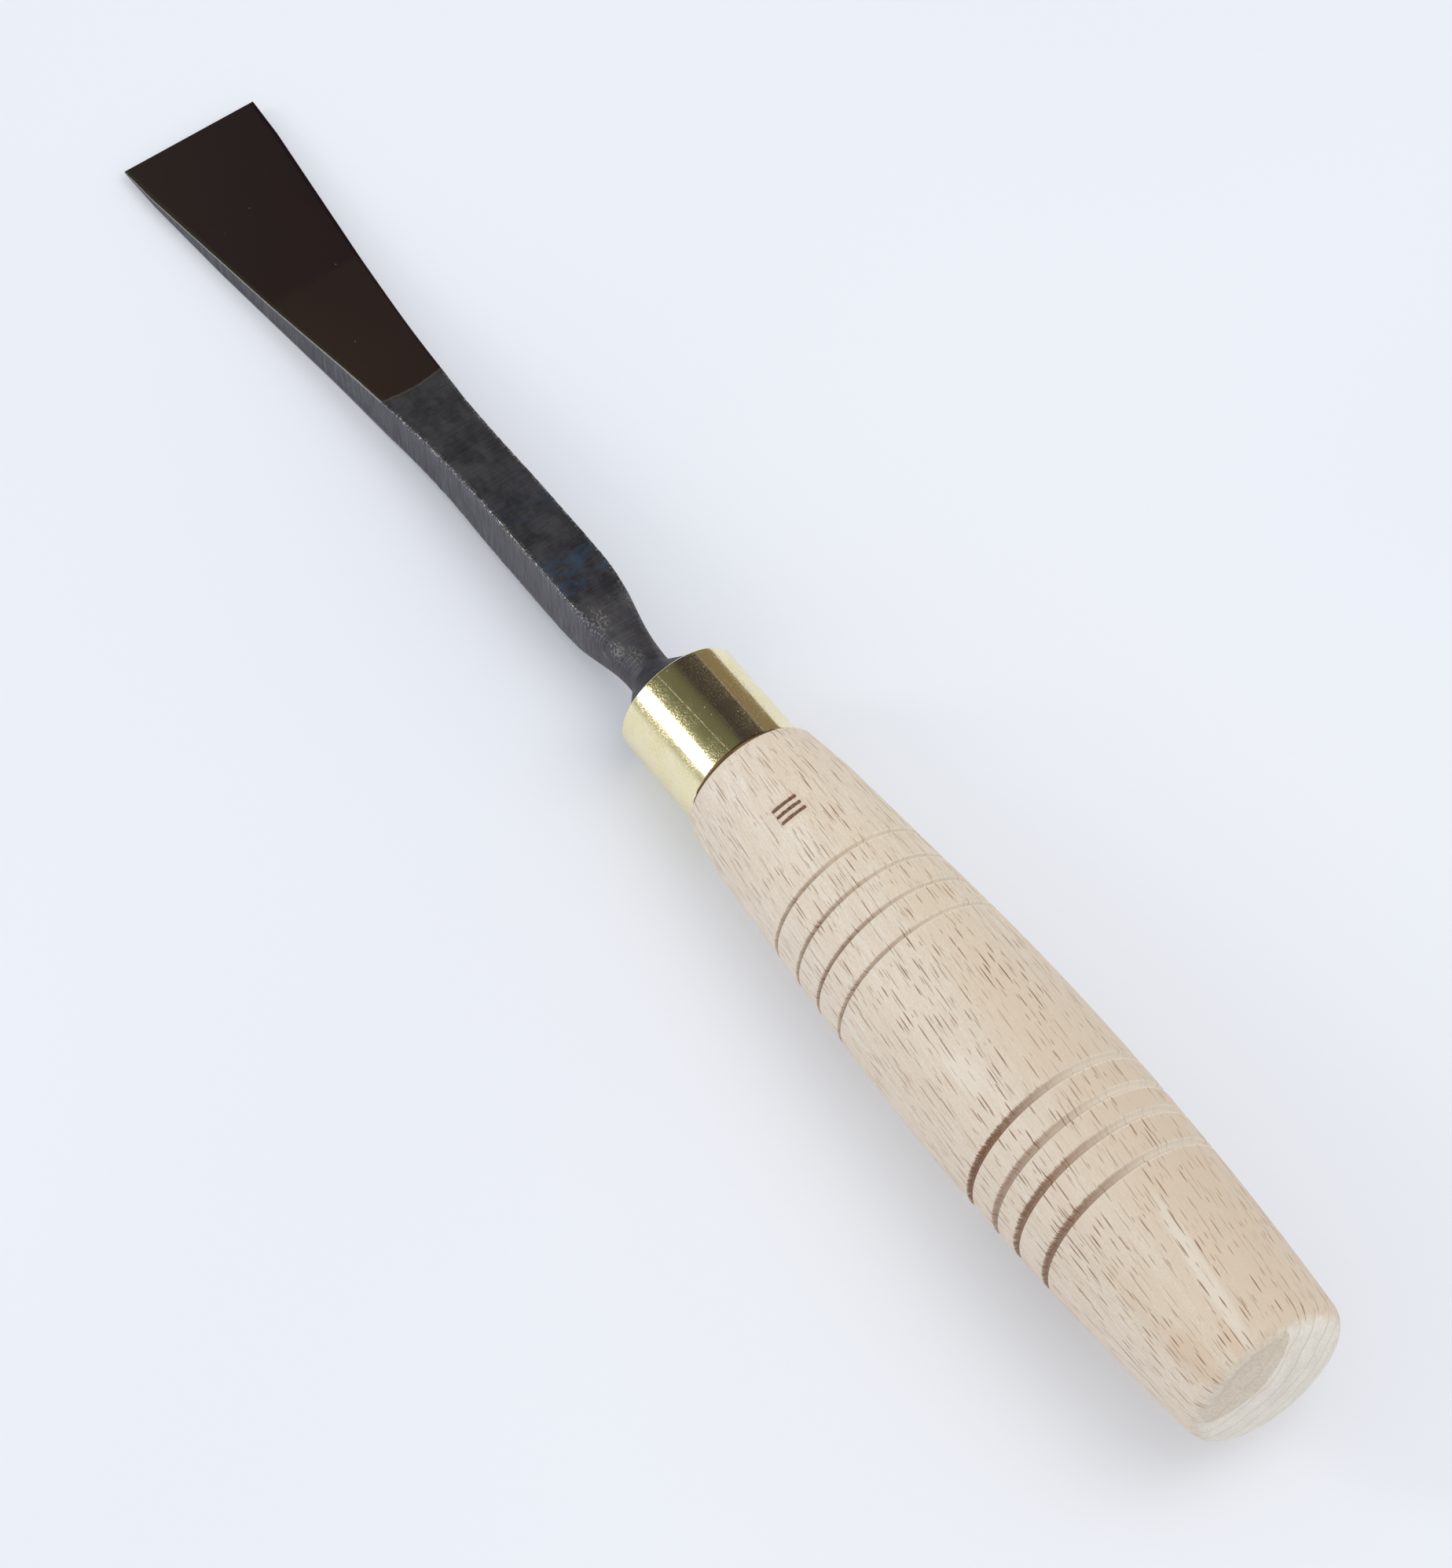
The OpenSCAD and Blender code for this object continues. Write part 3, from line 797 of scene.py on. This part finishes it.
# ---------------------------------------------------------------- materials
def beech():
    s = Shader("beech")
    x, y, z = s.split(s.place)
    turn = s.math("ARCTAN2", y, z)
    degrees = s.times(turn, 180.0 / math.pi)
    behind = s.minus(MOUTH - FERRULE_LEN, x)
    sheet = s.join(x, s.times(turn, BELLY_R), 0.0)

    # The grain winds slowly round the handle, so the wood's own coordinates are unwound.
    radius = s.math("SQRT", s.squares(y, z))
    unwound = s.minus(turn, s.times(behind, TWIST))
    wood_y = s.times(radius, s.math("SINE", unwound))
    wood_z = s.times(radius, s.math("COSINE", unwound))
    wood = s.join(x, wood_y, wood_z)
    skin = s.join(x, s.times(unwound, BELLY_R), 0.0)
    side = s.minus(wood_y, PITH_R * math.sin(PITH_TURN))
    rise = s.minus(wood_z, PITH_R * math.cos(PITH_TURN))
    pith_r = s.math("SQRT", s.squares(side, rise))
    round_pith = s.times(s.math("ARCTAN2", side, s.times(rise, -1.0)), PITH_R)
    warp = s.shiver(s.stretched(70.0, 12.0, 12.0, wood), 5.0)
    ring = s.math("FRACT", s.math("DIVIDE", s.plus(pith_r, warp), RING_W))

    # Flesh: broad streaks, year rings, fine fibre and a granular mottle, over a painted sheen on
    # the side away from the key lamp and painted shade on the key-lit side towards the butt.
    broad = s.noise(s.stretched(60.0, 4.0, 4.0, wood), 3.0, 0.55)
    fibre = s.noise(s.stretched(6.0, 0.20, 0.20, wood), 3.0, 0.6)
    grain = s.noise(s.stretched(0.42, 0.24, 0.24, wood), 2.0, 0.7)
    cloud = s.noise(s.stretched(24.0, 9.0, 9.0, wood), 2.0)
    streaks = s.noise(s.stretched(16.0, 0.55, 0.55, wood), 3.0, 0.6)
    # Painted sheen: the wood is paler cream on the side away from the key lamp and more honey on
    # the lit side; the cloud term is the wood's own uneven tone.
    tone_and_sheen = s.plus(s.band(degrees, 45.0, -25.0, 0.0, 0.7), s.band(cloud, 0.35, 0.7, -0.15, 0.35))
    # Painted shade: the side the key lamp lights is darkened, more towards the butt.
    key_side_shade = s.band(degrees, 45.0, -5.0, 0.3, 1.0)
    flesh = s.layers(
        s.mix(tone_and_sheen, CREAM_AND_SHEEN, HONEY),
        (s.band(broad, 0.3, 0.7, 0.30, 0.0), BROAD_STREAK),
        (s.times(key_side_shade, s.band(behind, 20.0, 88.0, 0.0, 0.50)), PAINTED_SIDE_SHADE),
        (s.band(ring, 0.45, 1.0, 0.0, 0.22), LATE_WOOD),
        (s.band(streaks, 0.36, 0.66, 0.36, 0.0), FINE_STREAK),
        (s.band(fibre, 0.38, 0.70, 0.18, 0.0), FIBRE),
        (s.band(grain, 0.33, 0.60, 0.42, 0.0), MOTTLE),
    )
    rag = s.times(s.minus(fibre, 0.5), 1.2)
    for spot_x, spot_turn, long, wide, drift, strength, tint in BLEMISHES:
        off_x = s.minus(x, spot_x)
        off_turn = s.minus(degrees, s.plus(spot_turn, s.times(off_x, drift)))
        reach = s.squares(s.math("DIVIDE", off_x, long), s.math("DIVIDE", off_turn, wide))
        flesh = s.mix(s.band(s.plus(reach, rag), 1.4, 0.2, 0.0, strength), flesh, tint)

    # Rays of the wood: thin dark spindles lying along the grain, but not on the end grain.
    butt = HANDLE_LEN - BUTT_DOME - BUTT_ROUND
    facing = s.math("ABSOLUTE", s.split(s.normal)[0])
    nibble = s.noise(s.stretched(0.9, 0.9, 0.9), 2.0)
    edge_of_cut = s.plus(facing, s.band(nibble, 0.3, 0.7, -0.05, 0.05))
    end_grain = s.times(s.band(edge_of_cut, 0.55, 0.95), s.band(behind, butt - 1.0, butt))
    vigour = s.band(s.noise(s.stretched(16.0, 6.0, 6.0, wood), 2.0), 0.3, 0.7, 0.55, 1.0)
    rays = s.times(s.spindles(skin, (5.0, 0.95, DEEP_CELL), 0.85, 2.80, 0.125), vigour)
    moved = s.vector("ADD", skin, (7.0, 3.0, 5.0))
    small = s.spindles(moved, (2.8, 0.80, DEEP_CELL), 0.42, 1.30, 0.085)
    marks = s.math("MAXIMUM", rays, s.times(small, 0.70))
    flesh = s.mix(s.times(marks, s.minus(0.92, s.times(end_grain, 0.90))), flesh, RAY)

    # End grain at the butt: pale year rings, a dusty grey mottle and short radial checks.
    dust = s.noise(s.stretched(0.45, 0.45, 0.45), 3.0, 0.65)
    blot = s.noise(s.stretched(4.0, 4.0, 4.0), 2.0)
    late = s.times(s.band(ring, 0.80, 0.95), s.band(ring, 1.0, 0.96))
    radial = s.join(pith_r, round_pith, x)
    checks = s.spindles(radial, (6.0, 3.0, DEEP_CELL), 0.35, 1.8, 0.09)
    cut = s.layers(
        s.mix(s.band(blot, 0.35, 0.65), END_DARK, END_LIGHT),
        (s.band(dust, 0.35, 0.6, 0.30, 0.0), END_DUST),
        (s.times(late, 0.50), END_RING),
        (s.times(checks, 0.50), END_CHECK),
    )
    rub = s.noise(s.stretched(2.4, 1.1, 1.1), 4.0, 0.65)
    sanded = s.attribute("flat")
    worn = s.plus(sanded, s.times(s.minus(rub, 0.5), 1.5))
    flat = s.times(s.band(worn, 0.10, 1.0, 0.0, 0.80), s.band(sanded, 0.0, 0.15))
    flat = s.times(flat, s.band(dust, 0.35, 0.6, 1.0, 0.70))
    # Painted shade: a thin dark line on the wood in the crease where its nose meets the ferrule.
    crease_shade = s.band(behind, 0.42, 0.12)
    flesh = s.layers(flesh, (end_grain, cut), (flat, SANDED), (crease_shade, CREASE_SHADE))

    # Grooves: brown torn end grain on the ferrule side, deepened by painted shade on the side
    # away from the key lamp; paler round the far side, a painted highlight where the key lamp
    # falls.
    hair = s.shiver(s.stretched(1.6, 0.20, 1.0, sheet), 1.3)
    # Painted shade: the torn-grain brown deepens towards the side away from the key lamp.
    shaded_side = s.band(degrees, -15.0, 55.0, 0.12, 1.0)
    torn_and_shade = 0.0
    pale = 0.0
    front_set = (FRONT_GROOVES, FRONT_TORN_SHADE, FRONT_GROOVE_R)
    rear_set = (REAR_GROOVES, REAR_TORN_SHADE, REAR_GROOVE_R)
    for places, strengths, half in (front_set, rear_set):
        for place, strength in zip(places, strengths):
            gap = s.minus(behind, place)
            torn = s.plus(gap, hair)
            front = s.band(torn, -half - 0.30, -half + 0.15)
            rear = s.band(gap, half * 0.85, half * 0.35)
            torn_and_shade = s.math("MAXIMUM", torn_and_shade, s.times(front, rear, strength))
            pale = s.math("MAXIMUM", pale, s.band(s.math("ABSOLUTE", torn), half + 0.3, half))
    # Painted highlight: the grooves are paled on the far side, where the key lamp falls.
    lit_far_side = s.band(degrees, 30.0, -20.0, 0.0, 0.55)
    torn_and_shade = s.times(torn_and_shade, shaded_side, s.band(grain, 0.3, 0.6, 0.75, 1.0))
    flesh = s.layers(flesh, (s.times(pale, lit_far_side), PALE_WOOD_AND_LIGHT), (torn_and_shade, TORN_AND_SHADE))

    # Burned tally strokes with a faint scorch round them.
    arc_place = s.times(s.minus(turn, TALLY_TURN), TALLY_R)
    wobble = s.shiver(s.stretched(0.5, 0.5, 0.5), 0.28)
    past_end = s.minus(s.math("ABSOLUTE", arc_place), (TALLY_LEN - TALLY_W) / 2.0)
    run = s.math("MAXIMUM", past_end, 0.0)
    nearest = FAR_OFF
    for stroke in TALLY_STROKES:
        off = s.minus(x, TALLY_X + stroke * TALLY_GAP)
        nearest = s.math("MINIMUM", nearest, s.math("SQRT", s.squares(run, off)))
    burn = s.band(s.plus(nearest, wobble), TALLY_W * 0.62, TALLY_W * 0.36, 0.0, 0.95)
    char = s.mix(s.band(grain, 0.35, 0.6), CHAR_DARK, CHAR_LIGHT)
    flesh = s.layers(flesh, (s.band(nearest, 1.5, 0.2, 0.0, 0.35), SCORCH), (burn, char))

    relief = s.minus(s.plus(s.times(fibre, 0.5), s.times(grain, 0.3)), s.times(marks, 0.35))
    return s.finish(
        Base_Color=flesh, Roughness=s.band(fibre, 0.3, 0.7, 0.46, 0.60),
        Normal=s.bump(relief, 0.05), Specular_IOR_Level=0.40,
    )


def brass():
    s = Shader("brass")
    x, y, z = s.split(s.place)
    turn = s.math("ARCTAN2", y, z)
    degrees = s.times(turn, 180.0 / math.pi)
    sheet = s.join(x, s.times(turn, FERRULE_R), 0.0)
    haze = s.noise(s.stretched(5.0, 5.0, 5.0), 3.0)
    brushed = s.noise(s.stretched(14.0, 0.14, 1.0, sheet), 2.0)
    speck = s.noise(s.stretched(0.22, 0.22, 0.22), 2.0, 0.7)
    patch = s.noise(s.stretched(5.0, 5.0, 5.0), 2.0)
    pits = s.times(s.band(speck, 0.50, 0.66), s.band(patch, 0.30, 0.58, 0.25, 1.0))

    # Dust: small round spots of many sizes, each duller by its own random amount.
    spots = s.points(s.stretched(0.70, 0.70, 0.70))
    size, pick, level = s.split(spots["Color"])
    past_spot = s.minus(spots["Distance"], s.band(size, 0.0, 1.0, 0.06, 0.17))
    dust = s.times(s.band(past_spot, 0.03, -0.02), s.math("LESS_THAN", pick, 0.42))
    dust = s.times(dust, s.band(level, 0.0, 1.0, 0.35, 1.0))

    # Painted shade and reflection along the rear rim: brown where the rim mirrors the wood's
    # nose in shadow, widest near the top.
    uneven = s.band(s.noise(s.stretched(1.5, 1.5, 1.5), 2.0), 0.3, 0.7, -0.08, 0.10)
    off_top = s.math("ABSOLUTE", s.minus(degrees, RIM_SHADE_TURN))
    rim_shade_reach = s.band(off_top, 80.0, 10.0, 0.0, 0.55)
    from_rim = s.minus(s.plus(s.minus(x, MOUTH - FERRULE_LEN), uneven), rim_shade_reach)
    rim_shade = s.band(from_rim, 0.32, 0.18)

    # Short scratches, and one long score that runs the length of the tube.
    moved = s.vector("ADD", sheet, (2.0, 1.0, 1.0))
    scratches = s.spindles(moved, (9.0, 2.6, 40.0), 0.34, 4.2, 0.045)
    drift = s.times(s.minus(x, MOUTH), SCORE_DRIFT)
    off_score = s.math("ABSOLUTE", s.minus(s.minus(degrees, drift), SCORE_TURN))
    score = s.times(s.band(off_score, 0.75, 0.30), s.band(speck, 0.40, 0.60, 0.20, 0.85))
    scratches = s.math("MAXIMUM", scratches, score)

    tint = s.layers(
        s.mix(s.band(haze, 0.35, 0.7), BRASS_PALE, BRASS_DEEP),
        (s.times(pits, 0.35), BRASS_PIT), (rim_shade, RIM_SHADE_BROWN),
    )
    rough = s.plus(
        s.band(brushed, 0.3, 0.7, 0.06, 0.11), s.times(pits, 0.22),
        s.times(scratches, 0.50), s.times(dust, 0.42), s.times(rim_shade, 0.30),
    )
    relief = s.minus(s.times(brushed, 0.12), s.times(pits, 0.9))
    return s.finish(
        Base_Color=tint, Metallic=0.97, Roughness=rough, Normal=s.bump(relief, 0.006),
    )


def steel():
    s = Shader("steel")
    x, y, z = s.split(s.place)
    up = s.split(s.normal)[2]
    station = s.minus(x, MOUTH)
    bow = s.times(y, y, 0.02)
    ragged = s.shiver(s.stretched(0.8, 0.8, 0.8), 0.5)
    line = s.minus(s.plus(station, ragged), bow)
    front = s.band(line, POLISH_AT - POLISH_BLUR, POLISH_AT + POLISH_BLUR)
    level = s.band(s.math("ABSOLUTE", up), 0.80, 0.92)
    bevel_at = BLADE_LEN - BEVEL_LEN
    past_bevel = s.band(line, bevel_at - POLISH_BLUR, bevel_at + POLISH_BLUR)
    bevel = s.times(past_bevel, s.band(up, -0.80, -0.92))
    mirror = s.math("MAXIMUM", s.times(front, s.band(up, 0.80, 0.92)), bevel)

    # Forge scale: dark mottle, lines left across the bar by grinding, pits and temper blue.
    edge = s.attribute("corner")
    grit = s.noise(s.stretched(0.40, 0.40, 0.40), 3.0, 0.65)
    mottle = s.noise(s.stretched(5.0, 3.0, 3.0), 4.0, 0.6)
    lines = s.noise(s.stretched(0.13, 4.0, 6.0), 3.0, 0.65)
    steep = s.band(level, 1.0, 0.0, 0.45, 1.15)
    sides = s.times(steep, s.band(station, 3.0, 11.0, 0.35, 1.0))
    shade = s.times(s.band(level, 1.0, 0.0), s.band(station, 20.0, 60.0, 0.25, 0.60))
    tempered = s.times(s.band(station, 21.5, 24.0), s.band(station, 32.5, 29.0))
    faint = s.times(s.band(station, 35.0, 40.0), s.band(station, 48.0, 42.0, 0.0, 0.35))
    streak = s.noise(s.stretched(0.8, 3.0, 3.0), 3.0, 0.6)
    temper = s.times(s.math("MAXIMUM", tempered, faint), level)
    temper = s.times(temper, s.band(streak, 0.44, 0.60, 0.0, 0.85))
    pits = s.band(s.noise(s.stretched(0.7, 0.7, 0.7), 2.0, 0.6), 0.60, 0.72)
    patches = s.band(s.noise(s.stretched(2.2, 1.4, 1.4), 3.0), 0.60, 0.72)
    rubbed = s.times(s.band(station, 24.0, 14.0), patches, s.band(grit, 0.40, 0.65))
    upper = s.band(up, 0.1, 0.4)
    for spot_at, spot_y, long, wide in NECK_SPOTS:
        off_x = s.math("DIVIDE", s.minus(station, spot_at), long)
        off_y = s.math("DIVIDE", s.minus(y, spot_y), wide)
        eaten = s.plus(s.squares(off_x, off_y), s.band(mottle, 0.3, 0.7, 0.7, -0.5))
        spot = s.times(s.band(eaten, 1.2, 0.1), s.band(grit, 0.46, 0.60), upper)
        rubbed = s.math("MAXIMUM", rubbed, spot)
    chips = s.times(edge, s.band(grit, 0.50, 0.62))
    wear = s.math("MAXIMUM", s.times(chips, 0.65), s.times(edge, s.times(front, 0.5)))
    before = s.band(line, POLISH_AT - 0.9, POLISH_AT - 0.2)
    seam = s.times(before, s.band(line, POLISH_AT + 0.5, POLISH_AT))
    scale = s.layers(
        s.mix(s.band(mottle, 0.3, 0.7), SCALE_DARK, SCALE_LIGHT),
        (shade, SCALE_SIDE),
        (s.times(s.band(lines, 0.45, 0.66, 0.0, 0.62), sides), LINE_LIGHT),
        (s.times(s.band(lines, 0.36, 0.50, 0.40, 0.0), sides), LINE_DARK),
        (temper, TEMPER_BLUE),
        (s.times(pits, 0.5), PIT_BLACK),
        (s.times(rubbed, 0.8), RUBBED),
        (wear, BARE_EDGE),
        (s.times(seam, level, 0.7), STRAW),
    )

    # Ground face: nearly a mirror, a little warmer towards the shank, with a few dust specks.
    cloud = s.noise(s.stretched(40.0, 14.0, 14.0), 2.0)
    ageing = s.plus(s.band(station, 128.0, 82.0), s.band(cloud, 0.3, 0.7, -0.35, 0.35))
    spots = s.points(s.stretched(2.6, 2.6, 2.6))
    some = s.math("LESS_THAN", s.split(spots["Color"])[0], 0.35)
    dot = s.times(s.band(spots["Distance"], 0.055, 0.025), some)
    polished = s.mix(s.band(ageing, 0.1, 0.9), MIRROR_TIP, MIRROR_ROOT)
    polished = s.mix(s.times(dot, 0.6), polished, SPECK)

    rough_scale = s.minus(s.band(mottle, 0.3, 0.7, 0.38, 0.50), s.times(wear, 0.15))
    rough_scale = s.plus(rough_scale, s.band(station, 22.0, 14.0, 0.0, 0.12))
    relief = s.minus(s.plus(s.times(lines, 0.35), s.times(mottle, 0.4)), s.times(pits, 0.5))
    relief = s.times(relief, s.minus(1.0, mirror))
    return s.finish(
        Base_Color=s.mix(mirror, scale, polished), Metallic=s.blend(mirror, 0.85, 1.0),
        Roughness=s.blend(mirror, rough_scale, s.plus(0.08, s.times(dot, 0.4))),
        Normal=s.bump(relief, 0.05),
    )


def floor_paper():
    s = Shader("floor_paper")
    tooth = s.noise(s.stretched(2.0, 2.0, 2.0), 3.0)
    wide = s.noise(s.stretched(160.0, 160.0, 160.0), 1.0)
    tone = s.mix(s.band(wide, 0.3, 0.7), (0.690, 0.700, 0.735, 1.0), (0.705, 0.715, 0.740, 1.0))
    return s.finish(
        Base_Color=tone, Roughness=s.band(tooth, 0.3, 0.7, 0.85, 0.95), Specular_IOR_Level=0.2,
        Emission_Color=(0.930, 0.950, 1.0, 1.0), Emission_Strength=0.18,
    )


# ---------------------------------------------------------------- pieces
handle = build_handle()
ferrule = build_ferrule()
blade = build_blade()
for piece, node, slot, finish in (
    (handle, "handle", "handle_beech", beech()),
    (ferrule, "ferrule", "ferrule_brass", brass()),
    (blade, "blade", "blade_steel", steel()),
):
    piece.data.materials.append(finish)
    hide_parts(node)
    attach(piece, "root")


# ---------------------------------------------------------------- floor
def build_floor():
    """Pale paper that slopes to carry the handle's belly and the blade's underside."""
    tip_x = BLADE_HIGH[0]
    behind = np.linspace(NOSE_ROUND, BELLY_AT, 200)
    stations = np.linspace(WAIST_START, BLADE_LEN, 200)
    under = under_height(stations)
    apart = stations[:, None] + FERRULE_LEN + behind
    steepest = ((under[:, None] + barrel_radius(behind)) / apart).max(axis=1)
    rest = int(np.argmin(steepest))
    slope = float(steepest[rest])
    tip_floor = float(under[rest]) + slope * (BLADE_LEN - float(stations[rest])) - FLOOR_GAP
    near = np.arange(-200.0, 260.0, 4.0)
    xs = np.concatenate([[-FLOOR_FAR, -1000.0, -400.0], near, [400.0, 1000.0, FLOOR_FAR]])
    past = np.clip(xs - tip_x, 0.0, FLOOR_BEND)
    turned = slope * past - FLOOR_TURN * slope * past**2 / (2.0 * FLOOR_BEND)
    beyond = np.maximum(xs - tip_x - FLOOR_BEND, 0.0) * (1.0 - FLOOR_TURN) * slope
    z = tip_floor + slope * np.minimum(xs - tip_x, 0.0) + turned + beyond
    ys = (-FLOOR_FAR, 0.0, FLOOR_FAR)
    points = [(x * MM, y * MM, h * MM) for x, h in zip(xs, z) for y in ys]
    mesh = bpy.data.meshes.new("floor")
    mesh.from_pydata(points, [], grid_faces(len(xs), len(ys)))
    mesh.shade_smooth()
    mesh.materials.append(floor_paper())
    floor = bpy.data.objects.new("floor", mesh)
    bpy.context.scene.collection.objects.link(floor)


build_floor()


# ---------------------------------------------------------------- light
def aim(azimuth, elevation):
    """Unit vector; azimuth from +X towards +Y, elevation above the XY plane, in degrees."""
    a, e = math.radians(azimuth), math.radians(elevation)
    return Vector((math.cos(a) * math.cos(e), math.sin(a) * math.cos(e), math.sin(e)))


def soft_light(name, azimuth, elevation, distance, size, power, colour):
    """Rectangular lamp that faces the origin; distance and size are in metres."""
    lamp = bpy.data.lights.new(name, "AREA")
    lamp.shape = "RECTANGLE"
    lamp.size, lamp.size_y = size
    lamp.energy = power
    lamp.color = colour
    place = bpy.data.objects.new(name, lamp)
    direction = aim(azimuth, elevation)
    place.location = direction * distance
    place.rotation_mode = "QUATERNION"
    place.rotation_quaternion = direction.to_track_quat("Z", "Y")
    bpy.context.scene.collection.objects.link(place)
    place.visible_camera = False


def panel(name, stops, elevations):
    """Studio surroundings that only reflections see: an arc of a dome round the tool.

    stops are (azimuth, colour) in degrees and linear light; colours blend between stops.
    """
    points = [tuple(aim(a, e) * STUDIO_R) for a, _ in stops for e in elevations]
    shades = [shade for _, shade in stops for _ in elevations]
    mesh = bpy.data.meshes.new(name)
    mesh.from_pydata(points, [], grid_faces(len(stops), len(elevations)))
    glow = mesh.color_attributes.new("glow", "FLOAT_COLOR", "POINT")
    for item, shade in zip(glow.data, shades):
        item.color = (*shade, 1.0)
    material = bpy.data.materials.new(name)
    material.use_nodes = True
    tree = material.node_tree
    tree.nodes.clear()
    shade = tree.nodes.new("ShaderNodeVertexColor")
    shade.layer_name = "glow"
    light = tree.nodes.new("ShaderNodeEmission")
    tree.links.new(shade.outputs["Color"], light.inputs["Color"])
    out = tree.nodes.new("ShaderNodeOutputMaterial")
    tree.links.new(light.outputs[0], out.inputs["Surface"])
    mesh.materials.append(material)
    piece = bpy.data.objects.new(name, mesh)
    bpy.context.scene.collection.objects.link(piece)
    piece.visible_camera = False
    piece.visible_diffuse = False
    piece.visible_shadow = False


# Ceiling stops: azimuth and colour, palest beside the strip lamp.
CEILING = (
    (-110.0, (0.046, 0.034, 0.032)),
    (-50.0, (0.046, 0.034, 0.032)),
    (-37.0, (0.027, 0.017, 0.023)),
    (-30.0, (0.028, 0.018, 0.023)),
    (-23.0, (0.056, 0.042, 0.037)),
    (-16.0, (0.084, 0.082, 0.048)),
    (0.0, (0.112, 0.113, 0.064)),
    (16.0, (0.124, 0.126, 0.071)),
    (31.0, (0.128, 0.132, 0.075)),
    (44.0, (0.160, 0.164, 0.100)),
    (51.0, (0.250, 0.258, 0.165)),
    (56.0, (0.480, 0.490, 0.380)),
)
CEILING_FOOT = 28.5
WALL_COLOUR = (0.225, 0.170, 0.100)
SILL_COLOUR = (0.50, 0.49, 0.40)

world = bpy.data.worlds.new("studio")
world.use_nodes = True
sky = world.node_tree.nodes["Background"].inputs
sky["Color"].default_value = (0.905, 0.945, 1.0, 1.0)
sky["Strength"].default_value = 0.74
bpy.context.scene.world = world
soft_light("key", -140.0, 62.0, STUDIO_R, (1.3, 1.3), 7.9, (1.0, 0.99, 0.98))
soft_light("strip", 57.5, 27.0, 1.2, (0.22, 0.40), 2.2, (1.0, 0.985, 0.965))
panel("ceiling", CEILING, (CEILING_FOOT, 40.0, 50.0, 60.0, 72.0, 88.0))
panel("wall", ((-82.0, WALL_COLOUR), (-48.0, WALL_COLOUR)), (-2.0, 15.0, CEILING_FOOT))
panel("sill", ((52.0, SILL_COLOUR), (72.0, SILL_COLOUR)), (4.0, 13.0))


# ---------------------------------------------------------------- camera and view
view = bpy.data.cameras.new("view")
view.sensor_fit = "VERTICAL"
view.sensor_height = 36.0
view.sensor_width = 36.0
view.lens = 151.54
camera = bpy.data.objects.new("view", view)
camera.location = (-0.47666, 0.31662, 0.83198)
camera.rotation_euler = tuple(math.radians(a) for a in (33.965, 1.052, -125.541))
bpy.context.scene.collection.objects.link(camera)
bpy.context.scene.camera = camera
bpy.context.scene.view_settings.view_transform = "Standard"
